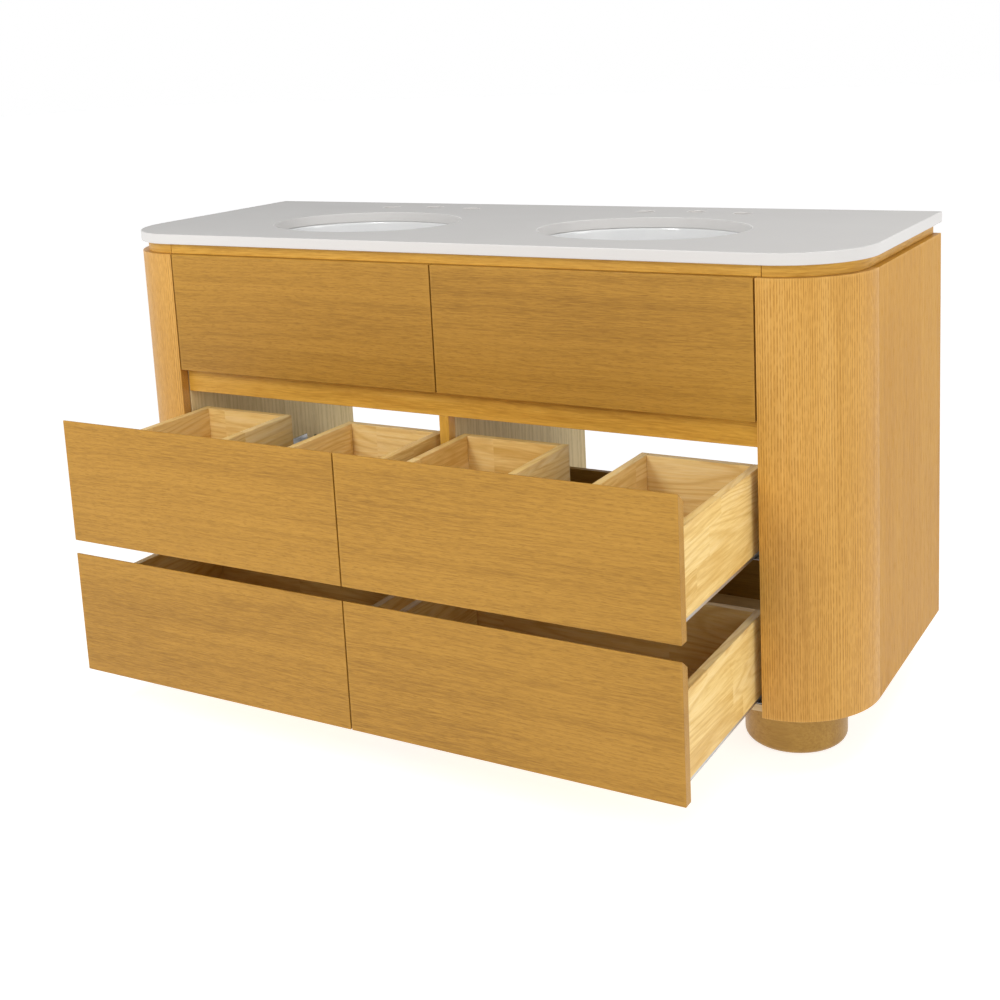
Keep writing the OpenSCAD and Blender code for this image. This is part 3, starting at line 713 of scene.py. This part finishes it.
def cutOverflow(piece, centre, front):
    # takes a round hole, level and square to the front, through the front wall of a basin
    count = basins["overflowSteps"]
    turns = np.linspace(0.0, 2 * math.pi, count, endpoint=False)
    ring = np.stack([np.cos(turns), np.zeros(count), np.sin(turns)], axis=1) * basins["overflowRadius"]
    height = centre[2] - basins["overflowDrop"]
    spots = np.concatenate([ring + (centre[0], front, height), ring + (centre[0], centre[1], height)])
    around = np.arange(count)
    beside = (around + 1) % count
    walls = np.stack([around, around + count, beside + count, beside], axis=1).tolist()
    mesh = bpy.data.meshes.new("overflow")
    mesh.from_pydata(spots.tolist(), [], walls + [around.tolist(), (around[::-1] + count).tolist()])
    cutter = bpy.data.objects.new("overflow", mesh)
    bpy.context.scene.collection.objects.link(cutter)
    cut = piece.modifiers.new("overflow", "BOOLEAN")
    cut.object = cutter
    finished = piece.evaluated_get(bpy.context.evaluated_depsgraph_get())
    holed = bpy.data.meshes.new_from_object(finished)
    piece.modifiers.clear()
    piece.data = holed
    holed.set_sharp_from_angle(angle=sharpAngle)
    bpy.data.objects.remove(cutter)


def makeBasins():
    widen = basins["width"] / basins["depth"]
    section = bowlSection()
    for side in ("left", "right"):
        node = "sink_" + side
        low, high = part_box(node)
        centre = ((low[0] + high[0]) / 2, (low[1] + high[1]) / 2, high[2])
        bowl = turned(section, (0.0, 0.0, centre[2]), basins["turnSteps"])
        # the drain stays round: the widening fades out towards it
        reach = np.linalg.norm(bowl["spots"][:, :2], axis=1)
        fade = basins["floorHalf"] - basins["drainRadius"]
        share = np.clip((reach - basins["drainRadius"] - 3 * mm) / fade, 0, 1)
        bowl["spots"][:, 0] *= 1 + (widen - 1) * share
        bowl["spots"][:, :2] += centre[:2]
        cutOverflow(standIn(node, [bowl]), centre, low[1])


makeCountertop()
makeBasins()
print("stone top and basins made")


bentPieces = {
    # width, outer radius, round of the two edges at the front, easing of the ends, and the way of the grain
    "corner_panel": (20 * mm, 148 * mm, 1.0 * mm, 1.0 * mm, "upright"),
    "neck_corner": (40 * mm, 136 * mm, 1.2 * mm, 0.8 * mm, "round"),
}
carcass = {
    "solidEasing": 1.2 * mm, "veneerEasing": 0.8 * mm, "arcSteps": 30,
    "seamRound": 1.2 * mm,  # small rounds beside the upright seam, taken out of the arcs
    "seamGap": 0.8 * mm,  # the dark seam at each end of the strip under the top
    "deckRadius": 128 * mm, "deckRound": 0.4 * mm, "deckEasing": 0.5 * mm, "deckSteps": 14,
    "wallHoleRadius": 3.5 * mm, "wallHoleApart": 800 * mm, "railDrop": 50 * mm,
    "railRound": 0.8 * mm, "railEasing": 0.5 * mm, "railBorder": 2 * mm, "wallHoleSteps": 24,
}
boardsAlong = {
    "z": ["side_panel_left", "side_panel_right", "liner_left", "liner_right", "centre_partition",
          "partition_edge"],
    "x": ["neck_front", "false_front_left", "false_front_right", "mid_rail", "back_panel_left",
          "back_panel_right"],
    "y": ["neck_side_left", "neck_side_right"],
}


def mirrored(corners, side):
    # the same outline on the other half, turned round so that it stays anticlockwise
    return corners if side > 0 else [(-x, y) for x, y in corners[::-1]]


def makeBentPiece(node, side, wide, radius, frontRound, easing, follow):
    # an angle in plan, whose outer and inner corners are arcs about one centre
    low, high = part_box(node)
    near, far = (low[0], high[0]) if side > 0 else (-high[0], -low[0])
    corners = [(near, low[1]), (far, low[1]), (far, high[1]), (far - wide, high[1]),
               (far - wide, low[1] + wide), (near, low[1] + wide)]
    seam = carcass["seamRound"]
    outer = radius - seam
    radii = [frontRound, outer, seam, seam, outer - wide, frontRound]
    radii = radii if side > 0 else radii[::-1]
    outline = roundedOutline(mirrored(corners, side), radii, carcass["arcSteps"])
    standIn(node, [prism([outline], low[2], high[2], easing, "z", follow, 0.0)])


def makeDeck():
    # the deck starts behind the fronts, part-way along the bent panels' inner arcs, and its two front corners
    # are the rest of those arcs: centre plus radius times the cosine, and minus radius times the sine
    low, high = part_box("bottom_deck")
    inner = carcass["deckRadius"]
    centreX, centreY = high[0] - inner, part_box("corner_panel_right")[1][1]
    turns = np.linspace(math.asin((centreY - low[1]) / inner), 0.0, carcass["deckSteps"])
    arc = [(centreX + inner * math.cos(turn), centreY - inner * math.sin(turn)) for turn in turns]
    corners = [(-x, y) for x, y in arc[::-1]] + arc + [(high[0], high[1]), (low[0], high[1])]
    outline = roundedOutline(corners, carcass["deckRound"], 2)
    deck = prism([outline], low[2], high[2], carcass["deckEasing"], "z")
    standIn("bottom_deck", [turnGrain(deck, "x")])


def makeWallRail():
    # its section lies in z and x, and the two screw holes go through it from front to back
    low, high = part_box("rear_top_rail")
    outlines = [roundedOutline(rectangle((low[2], low[0]), (high[2], high[0])), carcass["railRound"], 2)]
    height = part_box("side_panel_left")[1][2] - carcass["railDrop"]
    radius = carcass["wallHoleRadius"]
    for side in (-1, 1):
        spot = (height, side * carcass["wallHoleApart"] / 2)
        outlines.append(holeOutline(spot, radius, radius, carcass["wallHoleSteps"]))
    rail = prism(outlines, low[1], high[1], carcass["railEasing"], "y", None, carcass["railBorder"])
    standIn("rear_top_rail", [turnGrain(rail, "x")])


def makeCarcass():
    for direction, nodes in boardsAlong.items():
        for node in nodes:
            solid = slotOf[node] in ("solid_oak", "front_oak")
            easing = carcass["solidEasing"] if solid else carcass["veneerEasing"]
            # the flat side panels take the darker copy of the side oak, which is painted shade
            finish = "side_oak_flat_shaded_copy" if node.startswith("side_panel") else slotOf[node]
            gap = np.array([carcass["seamGap"] if node == "neck_front" else 0.0, 0.0, 0.0])
            boards = [board(low + gap, high - gap, easing, direction) for low, high in solidBoxes(node)]
            standIn(node, boards, finish)
    for side, name in ((-1, "left"), (1, "right")):
        for part, setting in bentPieces.items():
            makeBentPiece(f"{part}_{name}", side, *setting)
    makeDeck()
    makeWallRail()


makeCarcass()
print("carcass made")


feet = {
    "radius": 88 * mm, "height": 90 * mm, "lowerRound": 12 * mm, "socket": 11 * mm, "socketHeight": 26 * mm,
    "headRoom": 8.5 * mm, "headTop": 35.5 * mm, "boltHole": 4.3 * mm,
    "easing": 0.8 * mm, "boreEasing": 0.4 * mm, "arcSteps": 8, "turnSteps": 128,
}


def makeFeet():
    # half of a drum with its stepped bore, as a closed anticlockwise line of reaches and heights
    radius, socket, head, bolt = feet["radius"], feet["socket"], feet["headRoom"], feet["boltHole"]
    corners = [
        (socket, 0.0), (radius, 0.0), (radius, feet["height"]), (bolt, feet["height"]),
        (bolt, feet["headTop"]), (head, feet["headTop"]), (head, feet["socketHeight"]),
        (socket, feet["socketHeight"]),
    ]
    radii = [feet["easing"], feet["lowerRound"], feet["easing"]] + [feet["boreEasing"]] * 5
    section = roundedOutline(corners, radii, feet["arcSteps"])["points"]
    for row in ("front", "rear"):
        for side in ("left", "right"):
            node = f"foot_{row}_{side}"
            low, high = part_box(node)
            centre = ((low[0] + high[0]) / 2, (low[1] + high[1]) / 2, low[2])
            standIn(node, [turnGrain(turned(section, centre, feet["turnSteps"]), "x")])


makeFeet()
print("feet made")


drawers = {
    "frontEasing": 1.0 * mm, "boxEasing": 1.3 * mm, "baseEasing": 0.5 * mm,
    "frontRound": 1.0 * mm, "pullRound": 0.8 * mm, "baseRound": 0.6 * mm,
    "pull": 14 * mm,  # how far a front's top edge slopes down to its back
    "lip": 2 * mm,  # the flat left at the front of that slope
}


def makeDrawer(name):
    low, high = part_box(name + "_front")
    corners = [(low[1], low[2]), (high[1], low[2]), (high[1], high[2] - drawers["pull"]),
               (low[1] + drawers["lip"], high[2]), (low[1], high[2])]
    radii = [drawers["frontRound"]] * 3 + [drawers["pullRound"]] * 2
    outline = roundedOutline(corners, radii, 3)
    front = prism([outline], low[0], high[0], drawers["frontEasing"], "x", None, 0.0)
    standIn(name + "_front", [turnGrain(front, "x")])
    for part, direction in (("_sides", "y"), ("_gap_sides", "y"), ("_cross_boards", "x")):
        if name + part in frame["nodes"]:
            pieces = [board(a, b, drawers["boxEasing"], direction) for a, b in solidBoxes(name + part)]
            standIn(name + part, pieces)
    makeBase(name)


def makeBase(name):
    # the bottom board, with the plumbing notch at the back of an upper one
    low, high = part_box(name + "_base")
    corners = rectangle(low, high)
    if name + "_gap_sides" in frame["nodes"]:
        gapLow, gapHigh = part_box(name + "_gap_sides")
        corners[3:3] = [(gapHigh[0], high[1]), (gapHigh[0], gapLow[1]), (gapLow[0], gapLow[1]),
                        (gapLow[0], high[1])]
    outline = roundedOutline(corners, drawers["baseRound"], 2)
    base = prism([outline], low[2], high[2], drawers["baseEasing"], "z")
    standIn(name + "_base", [turnGrain(base, "x")])


for drawer in ("upper_left", "upper_right", "lower_left", "lower_right"):
    makeDrawer(drawer)
print("drawers made")


# the metal and plastic nodes stay, with finishes of their own
kept = [node for node, part in frame["nodes"].items() if not part.hide_render]
for node in kept:
    for place in frame["nodes"][node].material_slots:
        place.material = finishes[slotOf[node]]
print("kept CAD nodes:", ", ".join(sorted(kept)))


studio = {
    "floorSize": 60.0,
    "floorColour": (0.55, 0.55, 0.55),
    "floorGlow": 0.74,  # light of its own, so that the floor stays as white as the surroundings
    "horizon": 1.0,  # brightness of the surroundings at eye level
    "zenith": 0.20,  # and overhead
}
lights = {
    # name: place, aim, width, height, watts
    "keyPanel": ((-0.55, -1.95, 2.0), (-0.3, -0.4, 0.5), 0.5, 1.4, 26.0),
    "fillStrip": ((1.0, -2.1, 1.9), (0.3, -0.3, 0.6), 0.25, 1.2, 3.0),
    "topPanel": ((1.15, 0.1, 2.1), (0.7, -0.1, 0.86), 0.9, 0.9, 10.0),
    "sidePanel": ((2.8, -0.9, 1.5), (0.6, 0.0, 0.5), 0.8, 1.2, 11.0),
}
camera = {
    "spot": (1.38, -2.343, 1.189),
    "turn": 29.09,  # degrees to the left of straight ahead
    "pitch": 10.21,  # degrees down
    "roll": 2.54,
    "lens": 51.26,
    "shift": (-0.045, -0.195),
}


def makeFloor():
    half = studio["floorSize"] / 2
    corners = [(x, y, 0.0) for x, y in rectangle((-half, -half), (half, half))]
    mesh = bpy.data.meshes.new("floor")
    mesh.from_pydata(corners, [], [(0, 1, 2, 3)])
    start, close = newFinish("floor")
    at = start.node("TexCoord", {}, output=3)
    dust = cloud(stretched(at, 3.0, 3.0, 3.0), 2.0)
    glow = {"Emission Color": (1.0, 1.0, 1.0, 1.0), "Emission Strength": studio["floorGlow"]}
    mesh.materials.append(close((*studio["floorColour"], 1.0), dust * 0.1 + 0.6, dust, (0.05, 0.0005), glow))
    floor = bpy.data.objects.new("floor", mesh)
    bpy.context.scene.collection.objects.link(floor)


def makeSurroundings():
    # white at eye level, fading to the zenith's grey overhead
    world = bpy.data.worlds.new("surroundings")
    bpy.context.scene.world = world
    world.use_nodes = True
    world.node_tree.nodes.clear()
    start = Wire(world.node_tree)
    height = start.node("SeparateXYZ", {}, {0: start.node("TexCoord", {}, output=0)}, output=2)
    level = ease(height, 0.15, 0.9) * (studio["zenith"] - studio["horizon"]) + studio["horizon"]
    shine = start.node("Background", {}, {"Color": (1.0, 1.0, 1.0, 1.0), "Strength": level})
    start.node("OutputWorld", {}, {"Surface": shine})


def placeLight(name, spot, aim, width, height, watts):
    # a soft rectangular light that faces the point aim
    made = bpy.data.objects.new(name, bpy.data.lights.new(name, "AREA"))
    made.data.shape = "RECTANGLE"
    made.data.size = width
    made.data.size_y = height
    made.data.energy = watts
    made.location = spot
    made.rotation_euler = (Vector(aim) - Vector(spot)).to_track_quat("-Z", "Y").to_euler()
    bpy.context.scene.collection.objects.link(made)


def placeCamera(view):
    # looks along a direction given by a turn about the upright axis and a pitch, then rolls about it
    made = bpy.data.objects.new("camera", bpy.data.cameras.new("camera"))
    turn, pitch, roll = (math.radians(view[angle]) for angle in ("turn", "pitch", "roll"))
    level = math.cos(pitch)
    ahead = Vector((-math.sin(turn) * level, math.cos(turn) * level, -math.sin(pitch)))
    right = Vector((math.cos(turn), math.sin(turn), 0.0))
    down = ahead.cross(right)
    rolledRight = right * math.cos(roll) + down * math.sin(roll)
    rolledDown = down * math.cos(roll) - right * math.sin(roll)
    axes = Matrix((rolledRight, -rolledDown, -ahead)).transposed().to_4x4()
    made.matrix_world = Matrix.Translation(view["spot"]) @ axes
    made.data.sensor_width = 36.0
    made.data.lens = view["lens"]
    made.data.shift_x, made.data.shift_y = view["shift"]
    bpy.context.scene.collection.objects.link(made)
    bpy.context.scene.camera = made


makeFloor()
makeSurroundings()
for name, setting in lights.items():
    placeLight(name, *setting)
placeCamera(camera)
bpy.context.scene.view_settings.view_transform = "Standard"
print("stage, lights and camera placed")
